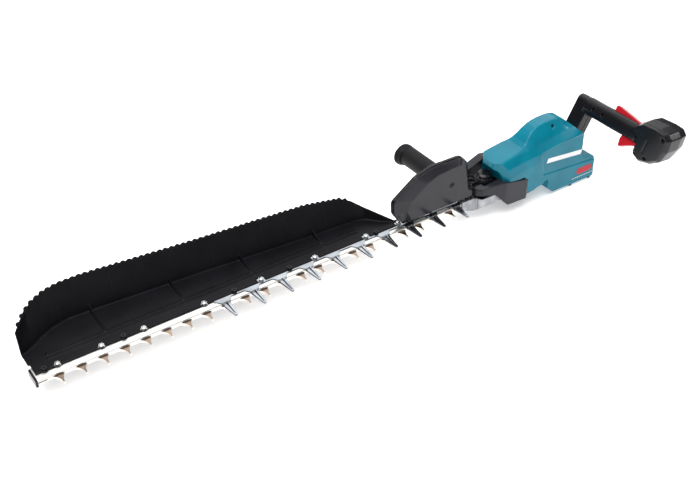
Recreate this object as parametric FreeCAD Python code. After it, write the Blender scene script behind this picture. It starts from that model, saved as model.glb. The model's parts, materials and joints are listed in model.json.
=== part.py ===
import FreeCAD, Part
import math
import os

# Cordless single-sided hedge trimmer.
# Origin: on the crank axis, at the flat underside of the aluminium blade holder.
# +X runs to the rear handle, -Y is the toothed side, +Z is up.

V = FreeCAD.Vector

# Cutter bar and blades
tooth_pitch = 34.0
tooth_count = 22
first_tooth_x = -804.0
tooth_root_y = -14.0
tooth_tip_y = -34.0
blade_back_y = 12.0
blade_left_x = -822.0
blade_thickness = 1.8
half_stroke = 8.5
slide_gap = 0.3
bar_left_x = -837.5
bar_right_x = -33.0
bar_front_y = -16.0
bar_back_y = 15.0
plate_bottom_z = 14.7
plate_top_z = 16.7
lower_blade_z = plate_top_z + slide_gap
upper_blade_z = lower_blade_z + blade_thickness + slide_gap
bar_bottom_z = upper_blade_z + blade_thickness + slide_gap
bar_top_z = 25.0
bolt_radius = 2.5
spacer_radius = 4.5
bolt_steps = [0, 2, 4, 7, 10, 13, 16, 18, 20]
bolt_x = [first_tooth_x + 4.0 + tooth_pitch * step for step in bolt_steps]
screw_x = [-820.0, -697.0, -509.0, -407.0, -235.0]

# Comb of blunt teeth
comb_pitch = 1.5 * tooth_pitch
comb_count = 10
comb_first_x = -532.0
comb_tip_y = -48.5
comb_thickness = 1.4

# Drive: crank gear, idler and motor pinion share one module
gear_module = 1.5
crank_teeth = 32
idler_teeth = 20
pinion_teeth = 10
gear_low_z = 28.2
gear_high_z = 36.0
idler_x = gear_module * (crank_teeth + idler_teeth) / 2.0
motor_x = idler_x + gear_module * (idler_teeth + pinion_teeth) / 2.0
eccentric_radius = 12.0
crank_neck_radius = 3.2
running_gap = 0.04

# Gear case
case_half_x = 28.6
case_arm_x = -61.0
case_half_y = 28.0
case_nose_y = -16.0
case_nose_z = 10.5
case_split_z = 27.4
case_wall = 3.0
roof_low_z = 37.5
roof_high_z = 42.0

# Motor housing
centre_y = 0.0
side_half = 38.0
housing_wall = 3.0

# Rear handle: elbow point, lean of the neck, grip section
elbow = V(243.0, centre_y, 121.0)
neck_lean = math.radians(28.0)
lean_up = V(math.sin(neck_lean), 0, math.cos(neck_lean))
lean_back = V(math.cos(neck_lean), 0, -math.sin(neck_lean))
grip_half_wide = 16.5
grip_half_high = 16.0
handle_wall = 3.0


# ---------- general shapes ----------

def place(u, v, level, plane):
    if plane == "xy":
        return V(u, v, level)
    if plane == "xz":
        return V(u, level, v)
    return V(level, u, v)


# Closed outline; a point is (u, v) or (u, v, corner radius)
def outline(points, plane, level):
    corners = []
    for i, point in enumerate(points):
        before = points[i - 1]
        after = points[(i + 1) % len(points)]
        here = V(point[0], point[1], 0)
        radius = point[2] if len(point) > 2 else 0.0
        if radius == 0.0:
            corners.append((here, here, here))
            continue
        back = (V(before[0], before[1], 0) - here).normalize()
        on = (V(after[0], after[1], 0) - here).normalize()
        half = back.getAngle(on) / 2.0
        bisector = (back + on).normalize()
        reach = radius / math.tan(half)
        middle = here + bisector * (radius / math.sin(half) - radius)
        corners.append((here + back * reach, middle, here + on * reach))
    edges = []
    for i, corner in enumerate(corners):
        start, middle, end = [place(p.x, p.y, level, plane) for p in corner]
        if start.distanceToPoint(end) > 1e-6:
            edges.append(Part.Arc(start, middle, end).toShape())
        following = corners[(i + 1) % len(corners)][0]
        nxt = place(following.x, following.y, level, plane)
        if end.distanceToPoint(nxt) > 1e-6:
            edges.append(Part.LineSegment(end, nxt).toShape())
    return Part.Wire(edges)


def prism(points, plane, start, end):
    face = Part.Face(outline(points, plane, start))
    return face.extrude(place(0, 0, end - start, plane))


# The same outline drawn smaller (or larger, for a negative inset)
def inset_points(points, inset):
    count = len(points)
    area = 0.0
    for i, point in enumerate(points):
        following = points[(i + 1) % count]
        area += point[0] * following[1] - following[0] * point[1]
    turn = 1.0 if area > 0 else -1.0
    moved = []
    for i, point in enumerate(points):
        before = V(points[i - 1][0], points[i - 1][1], 0)
        here = V(point[0], point[1], 0)
        after = V(points[(i + 1) % count][0], points[(i + 1) % count][1], 0)
        arriving = (here - before).normalize()
        leaving = (after - here).normalize()
        inward_a = V(-arriving.y, arriving.x, 0) * turn
        inward_b = V(-leaving.y, leaving.x, 0) * turn
        corner = here + (inward_a + inward_b) * (inset / (1.0 + inward_a.dot(inward_b)))
        convex = arriving.cross(leaving).z * turn > 0
        radius = point[2] if len(point) > 2 else 0.0
        if radius:
            radius = max(radius - inset, 0.0) if convex else radius + inset
        moved.append((corner.x, corner.y, radius))
    return moved


def block(x0, x1, y0, y1, z0, z1, radius=0.0):
    points = [(x0, y0, radius), (x1, y0, radius), (x1, y1, radius), (x0, y1, radius)]
    return prism(points, "xy", z0, z1)


def rod(radius, start, end):
    along = end - start
    return Part.makeCylinder(radius, along.Length, start, along)


def upright(radius, x, y, z0, z1):
    return rod(radius, V(x, y, z0), V(x, y, z1))


def ring(outer, inner, x, y, z0, z1):
    return upright(outer, x, y, z0, z1).cut(upright(inner, x, y, z0, z1))


def hex_bar(across_flats, x, y, z0, z1):
    corner = across_flats / math.sqrt(3.0)
    points = []
    for i in range(6):
        angle = math.radians(60 * i)
        points.append((x + corner * math.cos(angle), y + corner * math.sin(angle)))
    return prism(points, "xy", z0, z1)


def join(shapes):
    return shapes[0].multiFuse(shapes[1:]).removeSplitter()


def group(shapes):
    return Part.makeCompound(shapes)


def polygon_loft(sections):
    wires = []
    for section in sections:
        wires.append(Part.makePolygon(section + [section[0]]))
    return Part.makeLoft(wires, True, True)


def biggest_solid(shape):
    return max(shape.Solids, key=lambda solid: solid.Volume)


def save(name, shape):
    shape.exportStep("parts/" + name + ".step")
    print(name, len(shape.Solids), round(shape.Volume), shape.isValid())


# ---------- cutter ----------

def bar_holes(z0, z1, radius):
    return [upright(radius, x, 0, z0, z1) for x in bolt_x]


holder_bolt_places = [(-53.0, -11.5), (-53.0, 11.0), (-41.0, -11.5), (-41.0, 11.0)]


def holder_holes(z0, z1):
    return [upright(bolt_radius, x, y, z0, z1) for x, y in holder_bolt_places]


def make_guide_bar():
    section = [
        (bar_front_y, bar_bottom_z, 0.5),
        (bar_front_y, bar_top_z, 1.6),
        (bar_back_y, bar_top_z, 0.5),
        (bar_back_y, bar_bottom_z, 0.5),
    ]
    bar = prism(section, "yz", bar_left_x, bar_right_x)
    holes = bar_holes(bar_bottom_z - 1, bar_top_z + 1, bolt_radius)
    holes += [upright(bolt_radius, x, 0, bar_bottom_z - 1, bar_top_z + 1) for x in screw_x]
    holes += holder_holes(bar_bottom_z - 1, bar_top_z + 1)
    return bar.cut(group(holes))


def make_under_plate():
    plate = block(bar_left_x, bar_right_x, -13.0, bar_back_y - 1, plate_bottom_z, plate_top_z)
    holes = bar_holes(plate_bottom_z - 1, plate_top_z + 1, bolt_radius)
    holes += holder_holes(plate_bottom_z - 1, plate_top_z + 1)
    return plate.cut(group(holes))


def arc_edge(a, b, c, z):
    return Part.Arc(V(a[0], a[1], z), V(b[0], b[1], z), V(c[0], c[1], z)).toShape()


def line_edge(a, b, z):
    return Part.LineSegment(V(a[0], a[1], z), V(b[0], b[1], z)).toShape()


# Shear blade: fin-shaped teeth, slots for the spacers, and a yoke round the crank
def make_shear_blade(z):
    edges = []
    here = (blade_left_x, tooth_root_y)
    for i in range(tooth_count):
        x = first_tooth_x + tooth_pitch * i
        foot = (x - 13.0, tooth_root_y)
        tip_left = (x - 1.0, tooth_tip_y)
        tip_right = (x + 1.0, tooth_tip_y)
        heel = (x + 9.0, tooth_root_y)
        edges.append(line_edge(here, foot, z))
        edges.append(arc_edge(foot, (x - 5.2, -20.5), tip_left, z))
        edges.append(line_edge(tip_left, tip_right, z))
        edges.append(arc_edge(tip_right, (x + 3.4, -22.5), heel, z))
        here = heel
    neck_start = here[0] + 9.0
    rear = [
        (neck_start, tooth_root_y),
        (neck_start + 6.0, -8.0),
        (-10.0, -8.0),
        (-10.0, 8.0),
        (neck_start + 6.0, 8.0),
        (neck_start, blade_back_y),
        (blade_left_x, blade_back_y),
    ]
    for point in rear:
        edges.append(line_edge(here, point, z))
        here = point
    edges.append(line_edge(here, (blade_left_x, tooth_root_y), z))
    strip = Part.Face(Part.Wire(edges)).extrude(V(0, 0, blade_thickness))
    yoke_half_x = 16.5
    yoke_half_y = 24.0
    yoke = block(-yoke_half_x, yoke_half_x, -yoke_half_y, yoke_half_y, z, z + blade_thickness, 6.0)
    window_x = eccentric_radius + 0.3
    window_y = eccentric_radius + half_stroke + 0.4
    window = block(-window_x, window_x, -window_y, window_y, z, z + blade_thickness, 12.0)
    blade = join([strip, yoke]).cut(window)
    slot_x = spacer_radius + half_stroke + slide_gap
    slot_y = spacer_radius + slide_gap
    slots = []
    for x in bolt_x:
        slots.append(block(x - slot_x, x + slot_x, -slot_y, slot_y, z, z + blade_thickness, slot_y - 0.01))
    return blade.cut(group(slots))


def on_comb(x):
    return x > comb_first_x - comb_pitch / 4


def make_spacers():
    return group([ring(spacer_radius, bolt_radius, x, 0, plate_top_z, bar_bottom_z) for x in bolt_x])


nut_height = 4.6
bolt_end = 3.0


def nut_seat(x):
    return bar_top_z + comb_thickness if on_comb(x) else bar_top_z


def make_bolts():
    bolts = []
    for x in bolt_x:
        head = hex_bar(8.0, x, 0, plate_bottom_z - 3.5, plate_bottom_z)
        shank = upright(bolt_radius, x, 0, plate_bottom_z, nut_seat(x) + bolt_end)
        bolts.append(join([head, shank]))
    return group(bolts)


def make_nuts():
    nuts = []
    for x in bolt_x:
        seat = nut_seat(x)
        body = hex_bar(8.0, x, 0, seat, seat + nut_height - 1.2)
        dome = Part.makeSphere(4.4, V(x, 0, seat + nut_height - 4.4))
        top = dome.common(upright(3.7, x, 0, seat + nut_height - 1.2, seat + nut_height + 1))
        hole = upright(bolt_radius, x, 0, seat - 1, seat + bolt_end)
        nuts.append(join([body, top]).cut(hole))
    return group(nuts)


def make_tip_cap():
    low = plate_bottom_z - 1.2
    high = bar_top_z + 0.9
    outer = prism([(-17.2, low, 1.5), (-17.2, high, 1.5), (13, high, 1.5), (13, low, 1.5)], "yz",
                  bar_left_x - 2.5, bar_left_x + 1.2)
    bar_room = block(bar_left_x, bar_left_x + 5, bar_front_y, bar_back_y, plate_bottom_z, bar_top_z)
    return outer.cut(bar_room)


# One blunt tooth: over the top of the bar, down past its front edge and out
def comb_tooth(x):
    top = bar_top_z + comb_thickness
    side = [
        (-7.0, bar_top_z),
        (bar_front_y - 0.3, bar_top_z),
        (bar_front_y - 0.3, bar_bottom_z),
        (comb_tip_y, bar_bottom_z),
        (comb_tip_y, bar_bottom_z + 2.2),
        (-21.0, bar_bottom_z + 3.6),
        (-15.0, top),
        (-7.0, top),
    ]
    slab = prism(side, "yz", x - 15, x + 15)
    plan = [
        (x - 14.0, -6.9),
        (x - 6.5, -17.5, 7.0),
        (x - 2.2, comb_tip_y, 2.0),
        (x + 2.2, comb_tip_y, 2.0),
        (x + 6.5, -17.5, 7.0),
        (x + 14.0, -6.9),
    ]
    tooth = slab.common(prism(plan, "xy", bar_bottom_z - 1, top + 1))
    groove = prism([(x - 2.3, top + 0.2), (x, bar_bottom_z + 1.6), (x + 2.3, top + 0.2)], "xz", -44.0, -15.5)
    return tooth.cut(groove)


def make_blunt_comb():
    top = bar_top_z + comb_thickness
    last_x = comb_first_x + comb_pitch * (comb_count - 1)
    pieces = [block(comb_first_x - 16, last_x + 10, -7.2, -4.3, bar_top_z, top)]
    for i in range(comb_count):
        pieces.append(comb_tooth(comb_first_x + comb_pitch * i))
    tabs = [x for x in bolt_x if on_comb(x)]
    for x in tabs:
        pieces.append(block(x - 6, x + 6, -7.0, 5.5, bar_top_z, top, 2.0))
    comb = join(pieces).cut(block(case_arm_x - 0.4, 0.0, -20.0, 20.0, bar_top_z, top + 1))
    return comb.cut(group([upright(bolt_radius, x, 0, bar_top_z - 1, top + 1) for x in tabs]))


# ---------- chip receiver ----------

receiver_low_z = bar_top_z
receiver_sheet = 2.3
# x, y of the fold, y of the top edge, z of the top edge
receiver_sections = [
    (-837.0, 48.0, 52.5, 66.0),
    (-825.0, 51.0, 67.0, 70.0),
    (-812.0, 58.0, 82.0, 74.0),
    (-795.0, 70.0, 93.0, 78.5),
    (-775.0, 80.0, 99.5, 82.5),
    (-750.0, 86.0, 104.0, 84.0),
    (-713.0, 84.5, 104.0, 84.0),
    (-635.0, 78.5, 98.5, 81.5),
    (-528.0, 71.5, 91.5, 78.0),
    (-400.0, 60.0, 80.0, 78.5),
    (-331.0, 54.5, 74.0, 78.0),
    (-265.0, 50.5, 67.5, 70.0),
    (-246.0, 49.5, 62.0, 62.0),
    (-229.0, 44.0, 51.0, 50.0),
    (-208.0, 22.0, 24.0, 40.0),
    (-190.0, 9.0, 10.0, 29.0),
    (-166.0, 4.0, 4.5, 27.4),
]
receiver_front_y = -4.0
knob_pitch = 10.0
knob_radius = 4.4
seat_radius = 6.3
nut_room_radius = 5.2


def receiver_at(x):
    for left, right in zip(receiver_sections, receiver_sections[1:]):
        if left[0] <= x <= right[0]:
            share = (x - left[0]) / (right[0] - left[0])
            return [a + (b - a) * share for a, b in zip(left, right)]
    return None


def make_receiver():
    low = receiver_low_z
    high = low + receiver_sheet
    sections = []
    for x, fold, top_y, top_z in receiver_sections:
        lean = (top_y - fold) / (top_z - low)
        inner_fold = fold - receiver_sheet * 1.1 + lean * receiver_sheet
        sections.append([
            V(x, receiver_front_y, low),
            V(x, fold, low),
            V(x, top_y, top_z),
            V(x, top_y - receiver_sheet * 1.1, top_z),
            V(x, inner_fold, high),
            V(x, receiver_front_y, high),
        ])
    pieces = [polygon_loft(sections)]
    # Rounded knobs along the top edge
    x = -826.0
    while x < -247.0:
        _, _, top_y, top_z = receiver_at(x)
        start = V(x, top_y - receiver_sheet - 0.4, top_z - 1.6)
        pieces.append(rod(knob_radius, start, start + V(0, receiver_sheet + 0.8, 0)))
        x += knob_pitch
    # Gussets across the base, each ending in a small fin on the wall
    for x in (-714.0, -584.0, -462.0, -328.0):
        _, fold, top_y, top_z = receiver_at(x)
        rib = [
            (5.0, high - 0.5),
            (fold - 16.0, high + 4.5),
            (fold - 1.0, high + 12.5),
            (fold + 0.6, high + 8.0),
            (fold - 1.0, high - 0.5),
        ]
        pieces.append(prism(rib, "yz", x - 0.9, x + 0.9))
    # Two long ribs beside the bolt strip
    for y, half_wide in ((17.5, 0.8), (26.5, 1.6)):
        pieces.append(block(-806.0, -262.0, y - half_wide, y + half_wide, high - 0.5, high + 1.8))
    # Rounded seats round the bolts on the front edge
    for x in bolt_x[:-1] + screw_x:
        pieces.append(upright(seat_radius, x, 0, low, high))
    receiver = join(pieces)
    cuts = []
    for x in bolt_x:
        cuts.append(upright(nut_room_radius, x, 0, low - 1, high + 1))
    for x in screw_x:
        cuts.append(upright(bolt_radius + 0.2, x, 0, low - 1, high + 1))
    cuts.append(block(bar_left_x - 5, bar_left_x + 4, -20.0, 20.0, low - 1, bar_top_z + 1.8))
    left = comb_first_x - 17.5
    right = comb_first_x + comb_pitch * comb_count
    cuts.append(block(left, right, -8.0, -4.2, low - 1, high + 1))
    for x in [x for x in bolt_x if on_comb(x)]:
        cuts.append(block(x - 6.5, x + 6.5, -9.0, 6.0, low - 1, high + 1, 2.0))
    return biggest_solid(receiver.cut(group(cuts)))


def make_receiver_screws():
    screws = []
    top = receiver_low_z + receiver_sheet
    for x in screw_x:
        head = upright(4.2, x, 0, top, top + 2.6)
        socket = hex_bar(3.0, x, 0, top + 0.8, top + 3)
        shank = upright(bolt_radius, x, 0, bar_bottom_z + 0.8, top)
        screws.append(join([head.cut(socket), shank]))
    return group(screws)


# ---------- gear case ----------

arm_top_z = 29.5
case_screw_places = [(-20.0, -9.0), (-20.0, 18.0), (20.0, -9.0), (20.0, 18.0)]
case_screw_radius = 2.0
case_seat_z = 3.4


def make_case_lower():
    body = block(-case_half_x, case_half_x, -case_half_y, case_half_y, 0, case_split_z, 9.0)
    arm_side = [
        (case_arm_x, 11.5, 1.0),
        (case_arm_x, arm_top_z, 1.0),
        (-33.0, arm_top_z),
        (-33.0, case_split_z),
        (-20.0, case_split_z),
        (-20.0, 0.0),
        (-26.0, 0.0),
    ]
    arm = prism(arm_side, "xz", -18.5, 18.0)
    case = join([body, arm])
    room = block(-25.6, 25.6, -24.6, 24.6, 10.3, case_split_z + 1, 5.5)
    bar_room = block(-62.0, bar_right_x, bar_front_y, bar_back_y, plate_bottom_z, bar_top_z)
    blade_door = block(bar_right_x - 1, -25.0, -9.0, 9.0, plate_top_z, bar_bottom_z)
    bearing_seat = upright(11.0, 0, 0, 2.5, 11.0)
    shaft_relief = upright(6.0, 0, 0, 1.6, 3.0)
    holes = holder_holes(5.0, 31.0)
    holes += [upright(4.5, x, y, arm_top_z - 3.0, arm_top_z + 1) for x, y in holder_bolt_places]
    for x, y in case_screw_places:
        holes.append(upright(4.2, x, y, -1.0, case_seat_z))
        holes.append(upright(case_screw_radius + 0.1, x, y, 0.0, 9.0))
    nose = prism([(-40.0, -5.0), (case_nose_y, -5.0), (case_nose_y, 0.0), (-case_half_y, case_nose_z),
                  (-40.0, case_nose_z)], "yz", -40.0, 40.0)
    return case.cut(group([room, bar_room, blade_door, bearing_seat, shaft_relief, nose] + holes))


def make_holder_bolts():
    bolts = []
    for x, y in holder_bolt_places:
        shank = upright(bolt_radius, x, y, 11.0, arm_top_z - 3.0)
        head = upright(4.4, x, y, arm_top_z - 3.0, arm_top_z)
        socket = hex_bar(4.0, x, y, arm_top_z - 2.0, arm_top_z + 1)
        bolts.append(join([shank, head.cut(socket)]))
    return group(bolts)


def make_case_upper():
    outer = [
        upright(29.0, 0, 0, case_split_z, roof_high_z),
        upright(20.0, idler_x, 0, case_split_z, roof_high_z),
        upright(13.0, motor_x, 0, case_split_z, roof_high_z),
        prism([(4.0, -28.5), (idler_x, -20.0), (motor_x + 3, -12.5), (motor_x + 3, 12.5),
               (idler_x, 20.0), (4.0, 28.5)], "xy", case_split_z, roof_high_z),
        upright(17.0, 0, 0, roof_high_z, 52.0),
        upright(13.0, motor_x, 0, roof_high_z, 46.0),
    ]
    floor = prism([(case_half_x + 0.3, -20.0), (idler_x, -20.0), (motor_x, -12.5), (motor_x + 10.0, 0.0),
                   (motor_x, 12.5), (idler_x, 20.0), (case_half_x + 0.3, 20.0)], "xy",
                  case_split_z - case_wall, case_split_z)
    outer.append(floor)
    # Cooling fins round the crank boss
    for angle in (110, 145, 180):
        fin = block(16.0, 27.5, -1.3, 1.3, roof_high_z, 49.0)
        fin.rotate(V(0, 0, 0), V(0, 0, 1), angle)
        outer.append(fin)
    case = join(outer)
    rooms = [
        upright(26.3, 0, 0, case_split_z - 1, roof_low_z),
        upright(17.4, idler_x, 0, case_split_z, roof_low_z),
        upright(9.9, motor_x, 0, case_split_z, roof_low_z),
        upright(14.0, 0, 0, 43.0, 51.2),
        upright(8.5, 0, 0, roof_low_z - 1, 60.0),
        upright(11.0, motor_x, 0, 38.7, 45.7),
        upright(6.0, motor_x, 0, roof_low_z - 1, 47.0),
        upright(4.0, idler_x, 0, case_split_z - case_wall, roof_high_z),
    ]
    return case.cut(group(rooms))


# Socket screws in the floor, with their heads below the flat underside
def make_case_screws():
    screws = []
    for x, y in case_screw_places:
        head = upright(3.8, x, y, 0.4, case_seat_z).cut(hex_bar(3.0, x, y, 0.0, 2.2))
        shank = upright(case_screw_radius, x, y, case_seat_z, 8.7)
        screws.append(join([head, shank]))
    return group(screws)


def make_crank_cap():
    rim = ring(16.0, 12.0, 0, 0, 52.0, 54.0)
    wall = upright(14.0, 0, 0, 52.0, 59.5)
    crown = Part.makeCone(14.0, 10.5, 3.0, V(0, 0, 59.5))
    hollow = upright(11.5, 0, 0, 51.0, 58.5)
    return join([rim, wall, crown]).cut(hollow)


# The two eccentrics stand just clear of the blade yokes, above and below
def make_crank_shaft():
    low_eccentric = upright(eccentric_radius, 0, -half_stroke, 12.2, plate_top_z - 0.3)
    high_eccentric = upright(eccentric_radius, 0, half_stroke, bar_bottom_z + 0.2, 26.0)
    return join([
        upright(4.0 - running_gap, 0, 0, 2.2, 11.0),
        upright(5.0, 0, 0, 10.6, 12.4),
        low_eccentric,
        upright(crank_neck_radius, 0, 0, 15.0, 23.0),
        high_eccentric,
        upright(8.0, 0, 0, 25.5, gear_low_z),
        upright(6.0, 0, 0, gear_low_z, 43.0),
        upright(6.0 - running_gap, 0, 0, 43.0, 53.5),
    ])


# Straight-sided spur gear; turned so that its teeth mesh at rest
def spur_gear(teeth, x, z0, z1, turn):
    pitch_radius = gear_module * teeth / 2.0
    root = pitch_radius - 1.25 * gear_module
    tip = pitch_radius + 0.9 * gear_module
    pitch_angle = 2.0 * math.pi / teeth
    wheel = []
    for i in range(teeth):
        middle = i * pitch_angle + turn
        for radius, share in ((root, -0.34), (pitch_radius, -0.225), (tip, -0.09),
                              (tip, 0.09), (pitch_radius, 0.225), (root, 0.34)):
            angle = middle + share * pitch_angle
            wheel.append((x + radius * math.cos(angle), radius * math.sin(angle)))
    return prism(wheel, "xy", z0, z1)


def make_crank_gear():
    gear = spur_gear(crank_teeth, 0, gear_low_z, gear_high_z, 0.0)
    web = ring(19.0, 10.0, 0, 0, gear_high_z - 2.0, gear_high_z + 1)
    holes = [upright(3.0, 14.5 * math.cos(a), 14.5 * math.sin(a), gear_low_z - 1, gear_high_z)
             for a in [math.radians(60 * i) for i in range(6)]]
    return gear.cut(group([web, upright(6.0, 0, 0, gear_low_z - 1, gear_high_z + 1)] + holes))


def make_idler_gear():
    turn = math.pi + math.pi / idler_teeth
    gear = spur_gear(idler_teeth, idler_x, gear_low_z, gear_high_z, turn)
    return gear.cut(upright(4.0 + running_gap, idler_x, 0, gear_low_z - 1, gear_high_z + 1))


def make_idler_pin():
    return upright(4.0, idler_x, 0, case_split_z - case_wall, roof_high_z)


def make_bearing(x, bore, outer, z0, z1):
    inner_race = bore + (outer - bore) * 0.3
    outer_race = bore + (outer - bore) * 0.7
    pieces = [ring(inner_race, bore, x, 0, z0, z1), ring(outer, outer_race, x, 0, z0, z1)]
    ball_radius = (outer_race - inner_race) / 2.0 - 0.02
    middle = (inner_race + outer_race) / 2.0
    for i in range(8):
        angle = math.radians(45 * i)
        spot = V(x + middle * math.cos(angle), middle * math.sin(angle), (z0 + z1) / 2.0)
        pieces.append(Part.makeSphere(ball_radius, spot))
    return group(pieces)


# ---------- motor ----------

motor_low_z = 58.0
fan_low_z = 50.1
fan_high_z = 54.8
motor_high_z = 77.0
stator_radius = 24.0
rotor_radius = 12.0


def make_pinion():
    # Of the two gears that meet here, one shows a tooth and the other a gap
    gear = spur_gear(pinion_teeth, motor_x, gear_low_z, gear_high_z, math.pi)
    return gear.cut(upright(4.0, motor_x, 0, gear_low_z - 1, gear_high_z + 1))


def make_rotor():
    return join([
        upright(4.0 - running_gap, motor_x, 0, gear_low_z, motor_low_z),
        upright(rotor_radius, motor_x, 0, motor_low_z - 1, motor_high_z + 1),
        upright(4.0 - running_gap, motor_x, 0, motor_high_z, motor_high_z + 10.0),
    ])


def make_stator():
    yoke = ring(stator_radius, stator_radius - 3.5, motor_x, 0, motor_low_z, motor_high_z)
    pieces = [yoke]
    for i in range(6):
        arm = block(15.0, stator_radius - 3.0, -3.0, 3.0, motor_low_z, motor_high_z)
        shoe = ring(16.0, rotor_radius + 0.6, 0, 0, motor_low_z, motor_high_z)
        wedge = prism([(0, 0), (20.0, -8.0), (20.0, 8.0)], "xy", motor_low_z, motor_high_z)
        tooth = join([arm, shoe.common(wedge)])
        tooth.rotate(V(0, 0, 0), V(0, 0, 1), 60 * i)
        tooth.translate(V(motor_x, 0, 0))
        pieces.append(tooth)
    return join(pieces)


def make_coils():
    coils = []
    for i in range(6):
        outer = block(16.1, 19.6, -5.4, 5.4, motor_low_z - 2.5, motor_high_z + 2.5)
        room = block(16.0, 20.4, -3.0, 3.0, motor_low_z, motor_high_z)
        coil = outer.cut(room)
        coil.rotate(V(0, 0, 0), V(0, 0, 1), 60 * i)
        coil.translate(V(motor_x, 0, 0))
        coils.append(coil)
    return group(coils)


def make_fan():
    hub = ring(8.0, 4.0, motor_x, 0, fan_low_z, fan_high_z)
    disc = ring(20.0, 4.0, motor_x, 0, fan_low_z, fan_low_z + 1.5)
    pieces = [hub, disc]
    for i in range(9):
        vane = block(7.0, 19.5, -0.8, 0.8, fan_low_z + 1.0, fan_high_z)
        vane.rotate(V(7.0, 0, 0), V(0, 0, 1), 25)
        vane.rotate(V(0, 0, 0), V(0, 0, 1), 40 * i)
        vane.translate(V(motor_x, 0, 0))
        pieces.append(vane)
    fan = join(pieces)
    return fan.common(upright(20.0, motor_x, 0, fan_low_z, fan_high_z))


def make_controller():
    board = block(118.0, 182.0, -24.0, 24.0, 40.0, 54.0, 3.0)
    fins = [block(120.0, 180.0, y, y + 2.0, 54.0, 60.0) for y in (-20.0, -10.0, 0.0, 10.0, 20.0)]
    return join([board] + fins)


# ---------- motor housing ----------

# x, top z, half width of the ridge, z of the shoulder, half width below the shoulder
housing_sections = [
    (2.0, 83.0, 23.0, 82.0, 33.5),
    (29.0, 88.5, 23.0, 87.5, 33.5),
    (60.0, 93.5, 22.0, 91.5, 33.5),
    (70.0, 96.0, 20.0, 92.0, 33.7),
    (78.0, 101.0, 17.0, 92.5, 34.0),
    (86.0, 110.0, 14.0, 93.5, 34.2),
    (94.0, 117.5, 12.5, 95.0, 34.5),
    (104.0, 123.0, 12.0, 96.5, 38.0),
    (115.0, 126.0, 12.0, 98.5, 38.0),
    (128.0, 127.8, 12.0, 100.5, 38.0),
    (142.0, 128.0, 12.0, 102.5, 38.0),
    (154.0, 127.6, 12.0, 104.0, 38.0),
    (166.0, 124.2, 12.0, 105.0, 38.0),
    (178.0, 114.5, 12.0, 106.0, 38.0),
    (190.0, 108.5, 12.0, 107.0, 38.0),
    (250.0, 108.5, 12.0, 108.0, 38.0),
]
shoulder_half = 26.0
shoulder_drop = 14.0
facet_drop = 30.0

housing_profile = [
    (7.0, 72.0, 2.0),
    (7.0, 140.0),
    (151.3, 140.0),
    (206.5, 88.0, 3.0),
    (208.0, 42.0, 4.0),
    (214.0, 37.0, 2.0),
    (232.0, 36.5, 4.0),
    (243.0, 29.0, 5.0),
    (244.5, -14.0, 5.0),
    (141.0, -12.5, 5.0),
    (126.5, 0.0, 3.0),
    (125.5, 20.0, 2.0),
    (117.0, 20.0, 2.0),
    (112.0, 14.5, 2.0),
    (66.0, 7.0, 1.0),
    (66.0, 46.5, 1.0),
    (21.0, 46.5, 1.0),
    (20.0, 55.0, 3.0),
    (15.5, 66.0, 2.0),
]
housing_plan = [
    (7.0, -13.0, 6.0),
    (20.0, -28.0, 8.0),
    (32.0, centre_y - side_half - 1),
    (250.0, centre_y - side_half - 1),
    (250.0, centre_y + side_half + 1),
    (32.0, centre_y + side_half + 1),
    (20.0, 28.0, 8.0),
    (7.0, 13.0, 6.0),
]


def housing_solid(inset):
    sections = []
    for x, top, ridge, shoulder, waist in housing_sections:
        half = [
            (ridge - inset * 0.6, top - inset),
            (shoulder_half - inset, shoulder - inset),
            (waist - inset, shoulder - shoulder_drop - inset),
            (side_half - inset, shoulder - facet_drop - inset),
            (side_half - inset, -40.0),
        ]
        right = [V(x, centre_y - w, z) for w, z in half]
        left = [V(x, centre_y + w, z) for w, z in reversed(half)]
        sections.append(right + left)
    body = polygon_loft(sections)
    profile = prism(inset_points(housing_profile, inset), "xz", -60.0, 70.0)
    plan = prism(inset_points(housing_plan, inset), "xy", -40.0, 160.0)
    return body.common(profile).common(plan)


# x, z and the side that each screw goes in from
housing_screw_places = [
    (141.0, 117.0, -1),
    (28.0, 72.0, 1),
    (98.0, 70.0, 1),
    (197.0, 56.0, 1),
    (144.0, 24.0, 1),
    (231.0, 22.0, 1),
]
bay_half = 28.0
panel_depth = 1.5
bay_left_x = 150.0
bay_top_z = 8.0


def make_housing():
    outer = housing_solid(0.0)
    shell = outer.cut(housing_solid(housing_wall))
    # Recessed rear panel on each flank, below the shoulder
    panel = [(100.0, 90.0), (111.0, 34.0, 3.0), (260.0, 22.0), (260.0, 90.0)]
    for side in (-1, 1):
        level = centre_y + side * (side_half - panel_depth)
        shell = shell.cut(prism(panel, "xz", level, level + side * 5.0))
    # Downward-open bay for the battery's slide, and its floor
    bay = block(bay_left_x, 260.0, centre_y - bay_half, centre_y + bay_half, -40.0, bay_top_z)
    lining = block(bay_left_x - 3, 246.0, centre_y - bay_half - 3, centre_y + bay_half + 3, -14.5, bay_top_z + 3)
    lining = lining.cut(bay).common(outer)
    shell = shell.fuse(lining).cut(bay)
    # Passage for the gear case's tail and the motor boss
    tail = block(20.0, motor_x + 14.0, -21.0, 21.0, 23.5, 46.3)
    boss = upright(13.6, motor_x, 0, 40.0, 50.0)
    shell = shell.cut(tail).cut(boss)
    neck_hole = rod(9.0, elbow - lean_up * 80.0, elbow - lean_up * 30.0)
    shell = shell.cut(neck_hole)
    posts = [screw_post(*place).common(outer) for place in housing_screw_places]
    shell = shell.multiFuse(posts)
    cuts = []
    for x, z, side in housing_screw_places:
        seat = screw_seat(z, side)
        cuts.append(rod(head_room_radius, V(x, seat, z), V(x, seat + side * 50.0, z)))
        cuts.append(rod(screw_shank_radius, V(x, seat, z), V(x, seat - side * 26.0, z)))
    return shell.cut(group(cuts))


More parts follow.
